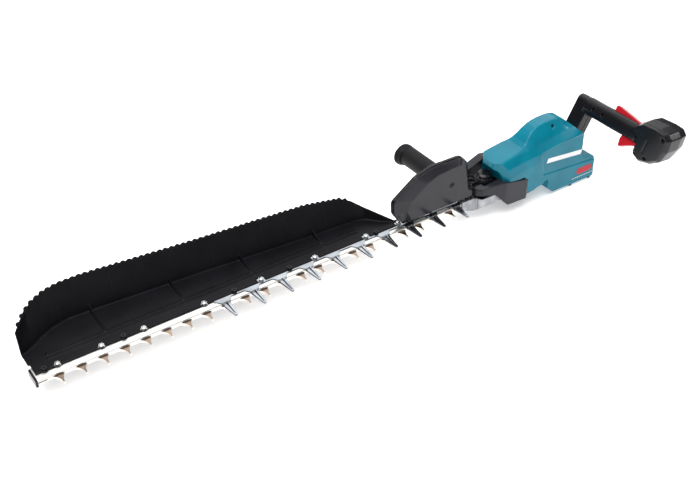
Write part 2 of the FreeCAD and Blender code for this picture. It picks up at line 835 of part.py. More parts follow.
# Housing screws: head, shank and the recess that clears the head
screw_head_radius = 3.4
screw_head_height = 2.4
screw_shank_radius = 1.9
head_room_radius = 3.6
screw_post_radius = 5.5


def screw_post(x, z, side):
    seat = screw_seat(z, side)
    return rod(screw_post_radius, V(x, seat + side * 30.0, z), V(x, seat - side * 30.0, z))


# Each head sits at the bottom of its recess; the upper one is under the sloping flank
def screw_seat(z, side):
    if z > 100.0:
        return centre_y + side * 12.0
    return centre_y + side * (side_half - 9.0)


def make_housing_half(shell, side):
    if side < 0:
        keep = block(-20.0, 300.0, -60.0, centre_y, -60.0, 160.0)
    else:
        keep = block(-20.0, 300.0, centre_y, 70.0, -60.0, 160.0)
    half = shell.common(keep)
    return biggest_solid(half)


def make_housing_screws():
    screws = []
    for x, z, side in housing_screw_places:
        seat = screw_seat(z, side)
        head = rod(screw_head_radius, V(x, seat + side * screw_head_height, z), V(x, seat, z))
        shank = rod(screw_shank_radius, V(x, seat, z), V(x, seat - side * 25.0, z))
        screws.append(join([head, shank]))
    return group(screws)


def make_vent():
    plate = prism([(76.0, 6.5), (78.0, 2.5, 1.0), (100.0, 5.5, 2.0), (108.0, 11.5)], "xz", -32.0, 32.0)
    slots = [block(80.0, 102.0, y, y + 2.5, 0.0, 5.5) for y in range(-28, 30, 6)]
    return plate.cut(group(slots)).cut(housing_solid(0.0))


def make_vent_plug():
    return block(108.3, 113.3, -31.0, -25.0, 8.0, 13.2, 1.0)


def make_battery_rail():
    rails = []
    for side in (-1, 1):
        wall = centre_y + side * bay_half
        inner = centre_y + side * (bay_half - 6.0)
        low, high = min(wall, inner), max(wall, inner)
        rail = block(bay_left_x + 10, 246.0, low, high, -12.5, -8.5)
        stem_inner = centre_y + side * (bay_half - 2.5)
        stem = block(bay_left_x + 10, 246.0, min(wall, stem_inner), max(wall, stem_inner), -12.5, bay_top_z)
        rails.append(join([rail, stem]))
    return group(rails)


def make_terminal_block():
    body = block(bay_left_x, bay_left_x + 22, centre_y - 20, centre_y + 20, -4.0, bay_top_z, 1.0)
    slots = [block(bay_left_x + 6, bay_left_x + 30, y, y + 2.2, -5.0, 4.0) for y in contact_y]
    return body.cut(group(slots))


contact_y = (-15.0, -7.0, -1.1, 4.8, 12.8)


def make_contacts():
    blades = []
    for y in contact_y:
        blades.append(block(bay_left_x + 6, bay_left_x + 20, y + 0.6, y + 1.6, -3.0, 4.0))
    return group(blades)


def make_feet():
    feet = []
    for x in (190.0, 238.0):
        for y in (-32.5, 32.5):
            pad = Part.makeCone(4.5, 3.6, 4.0, V(x, y, -14.0), V(0, 0, -1))
            feet.append(pad.cut(housing_solid(0.0)))
    return group(feet)


# ---------- guard and front handle ----------

guard_outline = [
    (-186.0, 30.0, 6.0),
    (-203.0, 55.0, 14.0),
    (-204.0, 77.5, 9.0),
    (-157.0, 110.5, 25.0),
    (-122.0, 119.5, 25.0),
    (-62.0, 118.0, 14.0),
    (-47.0, 102.0, 10.0),
    (-41.0, 52.0, 8.0),
    (-31.5, 45.5, 3.0),
    (-31.5, 30.5, 2.0),
]
guard_front_y = -14.5
guard_rim_y = -7.0
guard_split_y = -4.5
guard_back_y = 1.5
guard_wall = 2.4
guard_foot_z = 33.2


def guard_block(plan, face_points, inset, y0, y1):
    plan_block = prism(inset_points(plan, inset), "xy", 0.0, 160.0)
    return plan_block.common(prism(inset_points(face_points, inset), "xz", y0, y1))


guard_field = [
    (-170.0, 34.0, 4.0),
    (-181.0, 57.0, 12.0),
    (-171.0, 74.0, 9.0),
    (-139.0, 96.5, 22.0),
    (-117.0, 105.5, 22.0),
    (-70.0, 109.5, 12.0),
    (-56.0, 97.0, 8.0),
    (-47.0, 50.0, 8.0),
    (-36.5, 44.5, 2.0),
    (-36.5, 34.0, 2.0),
]


# A flat field with a broad band that slopes back to the rim
def guard_plateau(inset):
    rim_y = guard_rim_y + inset
    rim = inset_points(guard_outline, inset)
    field = inset_points(guard_field, inset)
    face_y = guard_front_y + inset
    slope = Part.makeLoft([outline(rim, "xz", rim_y), outline(field, "xz", face_y)], True, True)
    skirt = prism(rim, "xz", rim_y, guard_split_y + (0.5 if inset else 0.0))
    return slope.fuse(skirt)


def make_guard_front_shell():
    shell = guard_plateau(0.0).cut(guard_plateau(guard_wall))
    shell = shell.cut(block(-196.0, -32.0, -11.5, 30.0, 20.0, guard_foot_z))
    seat = guard_screw_spot + V(0, guard_screw_head, 0)
    cup = rod(7.2, V(seat.x, guard_front_y + 1.0, seat.z), seat + V(0, 2.2, 0))
    head_room = rod(5.2, seat - V(0, 8.0, 0), seat)
    shell = shell.fuse(cup).cut(head_room).cut(rod(2.5, seat, seat + V(0, 30.0, 0)))
    return biggest_solid(shell)


def make_guard_back_shell():
    solid = prism(inset_points(guard_outline, -1.6), "xz", guard_split_y, guard_back_y)
    hollow = prism(inset_points(guard_outline, 1.4), "xz", guard_split_y, guard_back_y - guard_wall)
    limits = block(-230.0, -31.8, -30.0, 30.0, 30.3, 140.0)
    shell = solid.cut(hollow).common(limits)
    bottom = block(-196.0, -30.0, -11.5, 30.0, 20.0, guard_foot_z)
    shell = shell.cut(bottom)
    shell = shell.cut(rod(4.0, V(handle_x, -20.0, handle_z), V(handle_x, 20.0, handle_z)))
    post = rod(5.0, V(guard_screw_spot.x, guard_back_y - 8.0, guard_screw_spot.z),
               V(guard_screw_spot.x, guard_back_y - 1.0, guard_screw_spot.z))
    screw_hole = rod(2.5, guard_screw_spot, guard_screw_spot + V(0, 13.2, 0))
    return shell.fuse(post).cut(screw_hole)


handle_x = -103.0
handle_z = 87.7
handle_end_y = 98.0
grip_radius = 17.5
guard_screw_spot = V(-86.0, -13.2, 75.0)
guard_screw_head = 2.4


def along_handle(radius, y0, y1):
    return rod(radius, V(handle_x, y0, handle_z), V(handle_x, y1, handle_z))


def make_handle_core():
    core = join([
        along_handle(11.0, guard_back_y, handle_end_y - 6.0),
        along_handle(21.0, guard_back_y, guard_back_y + 3.0),
    ])
    return core.cut(along_handle(4.0, guard_back_y - 1.0, 45.0))


def make_handle_bolt():
    seat = guard_back_y - guard_wall
    return join([along_handle(6.5, seat - 4.0, seat), along_handle(4.0, seat, 44.0)])


# Soft sleeve with a one-sided lip at its outer end
def make_front_grip():
    start = guard_back_y + 3.0
    sleeve = along_handle(grip_radius, start, handle_end_y)
    lip = along_handle(grip_radius + 2.5, handle_end_y - 5.0, handle_end_y)
    lip.translate(V(-4.5, 0, 0.5))
    flare = Part.makeCone(grip_radius, grip_radius + 2.5, 7.0, V(handle_x, handle_end_y - 12.0, handle_z), V(0, 1, 0))
    flare.translate(V(-3.0, 0, 0.3))
    grip = join([sleeve, flare, lip])
    slot = block(handle_x - 23.0, handle_x - 15.0, handle_end_y - 3.0, handle_end_y + 1, handle_z - 4.0, handle_z + 4.0)
    return grip.cut(along_handle(11.0, 0, handle_end_y - 6.0)).cut(slot)


def make_guard_screw():
    start = guard_screw_spot
    seat = start + V(0, guard_screw_head, 0)
    head = rod(4.6, start, seat)
    shank = rod(2.5, seat, start + V(0, 13.0, 0))
    socket = rod(2.0, start - V(0, 1.0, 0), start + V(0, 1.2, 0))
    return join([head, shank]).cut(socket)


cover_plan = [
    (-31.0, -15.0),
    (-24.0, -27.5, 5.0),
    (0.0, -33.5, 25.0),
    (20.0, -40.0, 25.0),
    (72.0, -40.0, 6.0),
    (79.0, -32.0, 4.0),
    (79.0, -10.0),
    (-31.0, -10.0),
]
cover_face = [
    (-31.0, 30.5),
    (-31.0, 45.5, 3.0),
    (-12.0, 50.0, 8.0),
    (16.0, 53.0, 10.0),
    (66.0, 43.5, 10.0),
    (79.0, 38.0, 4.0),
    (75.0, 1.0, 5.0),
    (27.0, 3.0, 8.0),
    (12.0, 20.0, 8.0),
    (-2.0, 34.0, 10.0),
    (-18.0, 36.0, 6.0),
]


def make_gear_cover():
    solid = guard_block(cover_plan, cover_face, 0.0, -42.0, -10.5)
    hollow = guard_block(cover_plan, cover_face, 2.2, -42.0, -8.0)
    shell = solid.cut(hollow).cut(block(-15.0, 90.0, -20.0, 0.0, -10.0, 90.0))
    case = block(-case_half_x - 0.3, case_half_x + 0.3, -case_half_y - 0.3, 0, -1.0, case_split_z, 9.0)
    round_case = upright(29.3, 0, 0, 20.0, roof_high_z + 0.3)
    housing = housing_solid(0.0)
    shell = shell.cut(case).cut(round_case).cut(housing)
    return biggest_solid(shell)


def make_left_cover():
    face = [
        (-27.0, 32.0, 6.0),
        (-24.0, 49.0, 8.0),
        (6.0, 60.0, 8.0),
        (27.0, 68.0, 8.0),
        (48.0, 64.0, 8.0),
        (79.0, 38.0, 4.0),
        (75.0, 1.0, 5.0),
        (27.0, 3.0, 8.0),
        (0.0, 30.0, 10.0),
    ]
    outer = prism(face, "xz", 31.0, 48.0)
    inner = prism(inset_points(face, 2.2), "xz", 30.0, 45.6)
    shell = outer.cut(inner).cut(housing_solid(0.0))
    shell = shell.cut(block(-29.0, 29.0, -29.0, 29.3, 0, 43.0))
    return biggest_solid(shell)


# ---------- rear handle ----------

# Local axes: u runs along the grip towards the operator (-Y), up follows the neck's lean, n points back
def handle_point(u, up, n):
    return elbow + V(0, -centre_y - u, 0) + lean_up * up + lean_back * n


def handle_prism_up(points, n0, n1):
    corners = [handle_point(u, up, n0) for u, up in points]
    face = Part.Face(Part.makePolygon(corners + [corners[0]]))
    return face.extrude(lean_back * (n1 - n0))


def rounded_section(half_wide, half_high, radius, u):
    corners = []
    for sn, su in ((-1, -1), (1, -1), (1, 1), (-1, 1)):
        centre_n = sn * (half_wide - radius)
        centre_up = su * (half_high - radius)
        start = math.atan2(su, sn) - math.pi / 4
        for step in range(5):
            angle = start + step * math.pi / 8
            corners.append((centre_n + radius * math.cos(angle), centre_up + radius * math.sin(angle)))
    return [handle_point(u, up, n) for n, up in corners]


def grip_solid(inset, u0, u1):
    sections = []
    for share, grow in ((0.0, 0.5), (0.18, 0.0), (0.55, 0.6), (1.0, 0.3)):
        u = u0 + (u1 - u0) * share
        sections.append(rounded_section(grip_half_wide + grow - inset, grip_half_high + grow - inset, 12.0 - inset, u))
    return polygon_loft(sections)


neck_front_y = -14.0
neck_rear_y = 17.0


def neck_solid(inset):
    wide = 14.0 - inset
    points = []
    for along, side in ((-75.0, -1), (15.5 - inset, -1), (15.5 - inset, 1), (-75.0, 1)):
        spot = elbow + lean_up * along + lean_back * (wide * side)
        radius = 11.0 - inset if along > 0 else 0.0
        points.append((spot.x, spot.z, radius) if radius else (spot.x, spot.z))
    return prism(points, "xz", neck_front_y + inset, neck_rear_y - inset)


grip_start_u = 6.0
grip_end_u = 132.0


def handle_solid(inset):
    return join([neck_solid(inset), grip_solid(inset, grip_start_u + inset, grip_end_u)])


def half_space(side):
    big = Part.makeBox(150.0, 400.0, 400.0, V(0 if side > 0 else -150.0, -200.0, -200.0))
    big.rotate(V(0, 0, 0), V(0, 1, 0), math.degrees(neck_lean))
    big.translate(elbow)
    return big


def trigger_slot():
    return handle_prism_up(
        [(96.5, -5.0), (96.5, -45.0), (135.0, -45.0), (135.0, -5.0)], -finger_slot_half, finger_slot_half)


def lever_slot():
    return handle_prism_up(
        [(61.5, 5.0), (61.5, 45.0), (127.5, 45.0), (127.5, 5.0)], -finger_slot_half, finger_slot_half)


trigger_pivot = (128.5, -8.0)
lever_pivot = (123.0, 8.5)
pin_radius = 1.6
pin_reach = 13.0
finger_part_half = 6.4
finger_slot_half = 7.2
handle_screw_places = [(29.0, 0.0), (52.0, -1.0)]
handle_screw_seat = -11.0


def handle_pin(pivot, reach, radius):
    return rod(radius, handle_point(pivot[0], pivot[1], -reach), handle_point(pivot[0], pivot[1], reach))


def make_handle_shell():
    shell = handle_solid(0.0).cut(handle_solid(handle_wall))
    shell = shell.cut(housing_solid(0.0))
    shell = shell.cut(trigger_slot()).cut(lever_slot())
    posts = []
    for u, up in handle_screw_places:
        posts.append(rod(5.0, handle_point(u, up, -15.5), handle_point(u, up, 15.0)))
    for pivot in (trigger_pivot, lever_pivot):
        for near in (-11.0, 7.4):
            far = math.copysign(15.5, near)
            posts.append(rod(4.0, handle_point(pivot[0], pivot[1], near), handle_point(pivot[0], pivot[1], far)))
    inside = handle_solid(0.5)
    shell = shell.multiFuse([post.common(inside) for post in posts])
    cuts = []
    for u, up in handle_screw_places:
        cuts.append(rod(3.6, handle_point(u, up, -22.0), handle_point(u, up, handle_screw_seat)))
        cuts.append(rod(1.8, handle_point(u, up, -20.0), handle_point(u, up, 11.0)))
    for pivot in (trigger_pivot, lever_pivot):
        cuts.append(handle_pin(pivot, pin_reach + 0.2, pin_radius))
    return shell.cut(group(cuts))


end_guard_points = [
    (-121.0, 137.0),
    (-142.0, 153.0),
    (-172.0, 155.0),
    (-191.0, 153.0),
    (-199.0, 144.0),
    (-195.5, 121.0),
    (-184.0, 97.0),
    (-166.0, 85.0),
    (-143.0, 79.0),
    (-129.0, 87.0),
]
end_guard_centre = (-162.0, 121.0)
end_guard_half = 36.0
end_guard_front_x = 228.0
end_guard_back_x = 288.0
# x, size against the outline above, and how far the section hangs below it
end_guard_sections = [
    (end_guard_front_x, 0.94, 0.0),
    (236.0, 1.06, 3.0),
    (262.0, 1.08, 4.5),
    (278.0, 1.0, 4.0),
    (end_guard_back_x, 0.78, 3.0),
]


# A bulb that swells behind its flat front face and rounds off at the back
def end_guard_solid(inset):
    centre_across, centre_z = end_guard_centre
    sections = []
    for x, scale, drop in end_guard_sections:
        level = min(max(x, end_guard_front_x + inset), end_guard_back_x - inset)
        factor = scale - inset / end_guard_half
        section = []
        for y, z in end_guard_points:
            across = centre_across + (y - centre_across) * factor
            section.append(V(level, across, centre_z - drop + (z - centre_z) * factor))
        sections.append(section)
    return polygon_loft(sections)


end_guard_split_x = 236.0
end_screw_places = [(-189.0, 142.0), (-158.0, 90.5)]
end_screw_seat_x = 233.5


def make_end_guard(side):
    shell = end_guard_solid(0.0).cut(end_guard_solid(2.8))
    grip = grip_solid(0.0, grip_start_u, grip_end_u)
    shell = shell.cut(grip)
    for y, z in end_screw_places:
        shell = shell.fuse(rod(4.5, V(end_guard_front_x + 0.5, y, z), V(258.0, y, z)).common(end_guard_solid(0.5)))
    for y, z in end_screw_places:
        shell = shell.cut(rod(3.4, V(220.0, y, z), V(end_screw_seat_x, y, z)))
        shell = shell.cut(rod(1.7, V(220.0, y, z), V(252.0, y, z)))
    shell = shell.cut(trigger_slot()).cut(lever_slot())
    if side < 0:
        keep = block(200.0, end_guard_split_x, -220.0, -100.0, 60.0, 190.0)
        half = shell.common(keep)
        groove = prism([(-152.0, 98.0), (-149.5, 97.0), (-157.0, 126.0), (-158.5, 125.0)], "yz", 227.0, 229.0)
        return biggest_solid(half.cut(groove))
    return biggest_solid(shell.common(block(end_guard_split_x, 300.0, -220.0, -100.0, 60.0, 190.0)))


def make_handle_screws():
    screws = []
    for u, up in handle_screw_places:
        head = rod(3.4, handle_point(u, up, handle_screw_seat - 2.1), handle_point(u, up, handle_screw_seat))
        shank = rod(1.8, handle_point(u, up, handle_screw_seat), handle_point(u, up, 10.5))
        screws.append(join([head, shank]))
    for y, z in end_screw_places:
        head = rod(3.2, V(end_screw_seat_x - 2.1, y, z), V(end_screw_seat_x, y, z))
        shank = rod(1.7, V(end_screw_seat_x, y, z), V(251.0, y, z))
        screws.append(join([head, shank]))
    return group(screws)


def make_trigger():
    points = [
        (100.5, -13.0),
        (99.5, -24.0),
        (102.0, -35.0),
        (105.0, -36.0),
        (116.0, -29.5),
        (129.0, -23.5),
        (133.5, -19.0),
        (133.8, -8.0),
        (130.0, -4.5),
        (118.0, -6.0),
        (107.0, -9.0),
    ]
    body = handle_prism_up(points, -finger_part_half, finger_part_half)
    return body.cut(handle_pin(trigger_pivot, 10.0, pin_radius + 0.05))


def make_lever():
    points = [
        (64.5, 15.5),
        (63.5, 23.5),
        (65.5, 26.5),
        (68.5, 26.6),
        (98.0, 22.0),
        (120.0, 18.0),
        (126.0, 15.5),
        (126.3, 7.0),
        (123.0, 5.0),
        (100.0, 9.5),
        (76.0, 13.0),
    ]
    body = handle_prism_up(points, -finger_part_half, finger_part_half)
    return body.cut(handle_pin(lever_pivot, 10.0, pin_radius + 0.05))


def make_pin(pivot):
    return handle_pin(pivot, pin_reach, pin_radius)


def make_switch():
    body = handle_prism_up([(58.0, -12.0), (58.0, -0.5), (88.0, -0.5), (88.0, -12.0)], -8.0, 8.0)
    plunger = rod(2.5, handle_point(87.0, -4.0, 0), handle_point(92.0, -4.0, 0))
    return join([body, plunger])


# Torsion spring: close-wound turns round the pin, beside the lever
def make_coil(pivot, n0):
    turns = []
    for i in range(3):
        centre = handle_point(pivot[0], pivot[1], n0 + 0.7 * i)
        turns.append(Part.makeTorus(2.2, 0.4, centre, lean_back))
    return join(turns)


def main():
    os.makedirs("parts", exist_ok=True)
    save("guide_bar", make_guide_bar())
    save("under_plate", make_under_plate())
    save("upper_shear_blade", make_shear_blade(upper_blade_z))
    save("lower_shear_blade", make_shear_blade(lower_blade_z))
    save("blunt_comb", make_blunt_comb())
    save("blade_spacers", make_spacers())
    save("blade_bolts", make_bolts())
    save("blade_nuts", make_nuts())
    save("blade_tip_cap", make_tip_cap())
    save("chip_receiver", make_receiver())
    save("receiver_screws", make_receiver_screws())
    save("gear_case_lower", make_case_lower())
    save("gear_case_upper", make_case_upper())
    save("gear_case_screws", make_case_screws())
    save("holder_bolts", make_holder_bolts())
    save("crank_cap", make_crank_cap())
    save("crank_shaft", make_crank_shaft())
    save("crank_gear", make_crank_gear())
    save("idler_gear", make_idler_gear())
    save("idler_pin", make_idler_pin())
    save("crank_bearing_lower", make_bearing(0, 4.0, 11.0, 2.5, 9.5))
    save("crank_bearing_upper", make_bearing(0, 6.0, 14.0, 43.0, 51.0))
    save("motor_bearing_lower", make_bearing(motor_x, 4.0, 11.0, 38.7, 45.7))
    save("motor_bearing_upper", make_bearing(motor_x, 4.0, 11.0, motor_high_z + 3.0, motor_high_z + 10.0))
    save("motor_pinion", make_pinion())
    save("motor_rotor", make_rotor())
    save("motor_stator", make_stator())
    save("stator_coils", make_coils())
    save("cooling_fan", make_fan())
    save("motor_controller", make_controller())
    housing = make_housing()
    save("housing_right", make_housing_half(housing, -1))
    save("housing_left", make_housing_half(housing, 1))
    save("housing_screws", make_housing_screws())
    save("underside_vent", make_vent())
    save("vent_plug", make_vent_plug())
    save("battery_rail", make_battery_rail())
    save("terminal_block", make_terminal_block())
    save("terminal_contacts", make_contacts())
    save("rubber_feet", make_feet())
    save("guard_front_shell", make_guard_front_shell())
    save("guard_back_shell", make_guard_back_shell())
    save("guard_screw", make_guard_screw())
    save("gear_cover", make_gear_cover())
    save("gear_cover_left", make_left_cover())
    save("front_handle_core", make_handle_core())
    save("front_handle_bolt", make_handle_bolt())
    save("front_grip", make_front_grip())
    handle = make_handle_shell()
    save("rear_handle_front_half", biggest_solid(handle.common(half_space(-1))))
    save("rear_handle_back_half", biggest_solid(handle.common(half_space(1))))
    save("end_guard_front", make_end_guard(-1))
    save("end_guard_back", make_end_guard(1))
    save("handle_screws", make_handle_screws())
    save("trigger", make_trigger())
    save("trigger_pin", make_pin(trigger_pivot))
    save("trigger_spring", make_coil(trigger_pivot, -10.0))
    save("lock_lever", make_lever())
    save("lock_pin", make_pin(lever_pivot))
    save("lock_spring", make_coil(lever_pivot, -10.0))
    save("trigger_switch", make_switch())


main()
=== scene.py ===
import json
import math

import bmesh
import bpy
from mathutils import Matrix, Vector


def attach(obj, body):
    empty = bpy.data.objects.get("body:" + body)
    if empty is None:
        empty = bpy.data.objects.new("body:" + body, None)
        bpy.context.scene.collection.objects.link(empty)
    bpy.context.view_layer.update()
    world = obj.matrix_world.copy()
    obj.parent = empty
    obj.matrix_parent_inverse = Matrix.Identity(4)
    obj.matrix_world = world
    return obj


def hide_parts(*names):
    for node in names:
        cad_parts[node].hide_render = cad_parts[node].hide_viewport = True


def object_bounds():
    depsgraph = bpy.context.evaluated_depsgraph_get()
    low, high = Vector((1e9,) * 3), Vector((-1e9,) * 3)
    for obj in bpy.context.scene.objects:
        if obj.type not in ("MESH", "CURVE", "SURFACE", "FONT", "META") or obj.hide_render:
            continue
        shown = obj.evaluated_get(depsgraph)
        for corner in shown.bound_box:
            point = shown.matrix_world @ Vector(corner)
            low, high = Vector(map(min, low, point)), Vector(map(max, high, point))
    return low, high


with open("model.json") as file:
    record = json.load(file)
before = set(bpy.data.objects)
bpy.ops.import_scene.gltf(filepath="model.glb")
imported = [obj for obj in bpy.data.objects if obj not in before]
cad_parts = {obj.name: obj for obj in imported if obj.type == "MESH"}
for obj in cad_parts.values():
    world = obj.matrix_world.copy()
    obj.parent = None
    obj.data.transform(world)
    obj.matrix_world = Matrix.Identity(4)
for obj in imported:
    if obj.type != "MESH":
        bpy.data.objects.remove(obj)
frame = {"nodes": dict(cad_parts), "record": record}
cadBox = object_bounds()
mm = 0.001


def toLinear(channel):
    return channel / 12.92 if channel <= 0.04045 else ((channel + 0.055) / 1.055) ** 2.4


def colour(hexCode):  # sRGB hex to linear
    values = [int(hexCode[i:i + 2], 16) / 255 for i in (0, 2, 4)]
    return [toLinear(v) for v in values] + [1.0]


def addNode(tree, kind, settings=None, inputs=None, links=None):
    node = tree.nodes.new(kind)
    for name, value in (settings or {}).items():
        setattr(node, name, value)
    for name, value in (inputs or {}).items():
        node.inputs[name].default_value = value
    for name, source in (links or {}).items():
        tree.links.new(source, node.inputs[name])
    return node


def startMaterial(name):
    material = bpy.data.materials.new(name)
    material.use_nodes = True
    tree = material.node_tree
    tree.nodes.clear()
    output = addNode(tree, "ShaderNodeOutputMaterial")
    place = addNode(tree, "ShaderNodeTexCoord").outputs["Object"]
    return material, tree, output, place


def perMetre(sizeMm):  # texture scale for a feature of this size
    return 1000.0 / sizeMm


def ramp(tree, source, stops):
    node = addNode(tree, "ShaderNodeValToRGB", links={"Fac": source})
    elements = node.color_ramp.elements
    while len(elements) < len(stops):
        elements.new(0.5)
    for element, (position, value) in zip(elements, stops):
        element.position = position
        element.color = value
    return node


def mouldedPlastic(name, base, shade, grainMm, grainDepth, roughLow, roughHigh, wear,
                   gloss=0.3, sheen=0.0):
    # injection moulded polymer: spark-eroded grain, slow colour drift, paler where edges rub
    material, tree, output, place = startMaterial(name)
    drift = addNode(tree, "ShaderNodeTexNoise", inputs={"Scale": perMetre(42.0), "Detail": 4.0},
                    links={"Vector": place})
    tint = ramp(tree, drift.outputs["Fac"], [(0.3, colour(shade)), (0.7, colour(base))])
    grain = addNode(tree, "ShaderNodeTexNoise",
                    inputs={"Scale": perMetre(grainMm), "Detail": 3.0, "Roughness": 0.6},
                    links={"Vector": place})
    pits = addNode(tree, "ShaderNodeTexVoronoi", inputs={"Scale": perMetre(grainMm * 1.6)},
                   links={"Vector": place})
    height = addNode(tree, "ShaderNodeMath", {"operation": "ADD"},
                     links={0: grain.outputs["Fac"], 1: pits.outputs["Distance"]})
    bump = addNode(tree, "ShaderNodeBump", inputs={"Strength": grainDepth, "Distance": 0.0002},
                   links={"Height": height.outputs["Value"]})
    edge = addNode(tree, "ShaderNodeNewGeometry")
    rub = ramp(tree, edge.outputs["Pointiness"], [(0.53, (0, 0, 0, 1)), (0.60, (wear, wear, wear, 1))])
    worn = addNode(tree, "ShaderNodeMix", {"data_type": "RGBA", "blend_type": "SCREEN"},
                   links={"Factor": rub.outputs["Color"], "A": tint.outputs["Color"],
                          "B": tint.outputs["Color"]})
    rough = addNode(tree, "ShaderNodeMapRange",
                    inputs={"From Min": 0.25, "From Max": 0.75, "To Min": roughLow, "To Max": roughHigh},
                    links={"Value": grain.outputs["Fac"]})
    shader = addNode(tree, "ShaderNodeBsdfPrincipled",
                     inputs={"IOR": 1.49, "Specular IOR Level": gloss, "Sheen Weight": sheen},
                     links={"Base Color": worn.outputs["Result"], "Roughness": rough.outputs["Result"],
                            "Normal": bump.outputs["Normal"]})
    tree.links.new(shader.outputs["BSDF"], output.inputs["Surface"])
    return material


def groundSteel(name, base, shade, edge, lineMm, along, roughLow, roughHigh):
    # steel with grinding lines: streaks that run one way, and another tone on bevels and flanks
    material, tree, output, place = startMaterial(name)
    stretch = [0.04 if axis == along else 1.0 for axis in range(3)]
    lay = addNode(tree, "ShaderNodeMapping", inputs={"Scale": stretch}, links={"Vector": place})
    lines = addNode(tree, "ShaderNodeTexNoise", inputs={"Scale": perMetre(lineMm), "Detail": 5.0},
                    links={"Vector": lay.outputs["Vector"]})
    smudge = addNode(tree, "ShaderNodeTexNoise", inputs={"Scale": perMetre(25.0), "Detail": 3.0},
                     links={"Vector": place})
    tint = ramp(tree, smudge.outputs["Fac"], [(0.3, colour(shade)), (0.65, colour(base))])
    rough = addNode(tree, "ShaderNodeMapRange",
                    inputs={"From Min": 0.3, "From Max": 0.7, "To Min": roughLow, "To Max": roughHigh},
                    links={"Value": lines.outputs["Fac"]})
    bump = addNode(tree, "ShaderNodeBump", inputs={"Strength": 0.12, "Distance": 0.0001},
                   links={"Height": lines.outputs["Fac"]})
    facing = addNode(tree, "ShaderNodeNewGeometry").outputs["True Normal"]
    upward = addNode(tree, "ShaderNodeSeparateXYZ", links={"Vector": facing}).outputs["Z"]
    flatness = addNode(tree, "ShaderNodeMath", {"operation": "ABSOLUTE"}, links={0: upward})
    isFlat = ramp(tree, flatness.outputs["Value"], [(0.75, (0, 0, 0, 1)), (0.95, (1, 1, 1, 1))])
    mixed = addNode(tree, "ShaderNodeMix", {"data_type": "RGBA"}, inputs={"A": colour(edge)},
                    links={"Factor": isFlat.outputs["Color"], "B": tint.outputs["Color"]})
    shader = addNode(tree, "ShaderNodeBsdfPrincipled", inputs={"Metallic": 1.0},
                     links={"Base Color": mixed.outputs["Result"], "Roughness": rough.outputs["Result"],
                            "Normal": bump.outputs["Normal"]})
    tree.links.new(shader.outputs["BSDF"], output.inputs["Surface"])
    return material


def castAluminium(name, base, shade):
    # die-cast aluminium: fine orange-peel skin, dull grey with brighter patches
    material, tree, output, place = startMaterial(name)
    skin = addNode(tree, "ShaderNodeTexNoise", inputs={"Scale": perMetre(1.6), "Detail": 4.0},
                   links={"Vector": place})
    patch = addNode(tree, "ShaderNodeTexNoise", inputs={"Scale": perMetre(14.0), "Detail": 2.0},
                    links={"Vector": place})
    tint = ramp(tree, patch.outputs["Fac"], [(0.35, colour(shade)), (0.65, colour(base))])
    bump = addNode(tree, "ShaderNodeBump", inputs={"Strength": 0.35, "Distance": 0.0002},
                   links={"Height": skin.outputs["Fac"]})
    rough = addNode(tree, "ShaderNodeMapRange",
                    inputs={"From Min": 0.3, "From Max": 0.7, "To Min": 0.34, "To Max": 0.5},
                    links={"Value": skin.outputs["Fac"]})
    shader = addNode(tree, "ShaderNodeBsdfPrincipled", inputs={"Metallic": 1.0},
                     links={"Base Color": tint.outputs["Color"], "Roughness": rough.outputs["Result"],
                            "Normal": bump.outputs["Normal"]})
    tree.links.new(shader.outputs["BSDF"], output.inputs["Surface"])
    return material


finishes = {
    "tealNylon": mouldedPlastic("tealNylon", "017b90", "016c80", 0.9, 0.05, 0.16, 0.25, 0.3, 0.3),
    "greyNylon": mouldedPlastic("greyNylon", "29292e", "222227", 1.0, 0.06, 0.18, 0.28, 0.3, 0.3),
    "blackNylon": mouldedPlastic("blackNylon", "131317", "0e0e11", 0.9, 0.08, 0.16, 0.28, 0.4, 0.32),
    "scoopPlastic": mouldedPlastic("scoopPlastic", "131317", "0c0c0f", 1.1, 0.12, 0.30, 0.46, 0.7, 0.12),
    "softElastomer": mouldedPlastic("softElastomer", "19191b", "131315", 0.7, 0.35, 0.50, 0.66, 0.3,
                                    0.16, 0.06),
    "redAcetal": mouldedPlastic("redAcetal", "bd1c28", "ad1722", 0.8, 0.05, 0.22, 0.30, 0.3),
    "whitePrint": mouldedPlastic("whitePrint", "f4f5f5", "ececec", 0.6, 0.05, 0.35, 0.45, 0.0),
    "redPrint": mouldedPlastic("redPrint", "c3242e", "b81f29", 0.6, 0.05, 0.30, 0.40, 0.0),
    "paintedCasting": mouldedPlastic("paintedCasting", "1c1c1f", "151518", 1.4, 0.3, 0.32, 0.46, 0.5, 0.25),
    "bladeSteel": groundSteel("bladeSteel", "a39080", "84746a", "f6ede4", 0.5, 1, 0.14, 0.28),
    "barSteel": groundSteel("barSteel", "f8f6f3", "eeebe7", "d8d5d0", 0.6, 0, 0.24, 0.38),
    "combSteel": groundSteel("combSteel", "b4b9be", "969ba1", "5d6368", 0.6, 1, 0.10, 0.22),
    "zincSteel": groundSteel("zincSteel", "ececec", "d2d3d4", "c8c9ca", 0.5, 0, 0.16, 0.30),
    "blackOxide": groundSteel("blackOxide", "3a3a3c", "2c2c2e", "333335", 0.5, 0, 0.30, 0.45),
    "gearSteel": groundSteel("gearSteel", "8b8d90", "77797c", "85878a", 0.4, 2, 0.25, 0.38),
    "copperWire": groundSteel("copperWire", "b4683c", "9a5530", "a85f36", 0.5, 2, 0.25, 0.38),
    "castAluminium": castAluminium("castAluminium", "a9aaad", "8c8e92"),
}

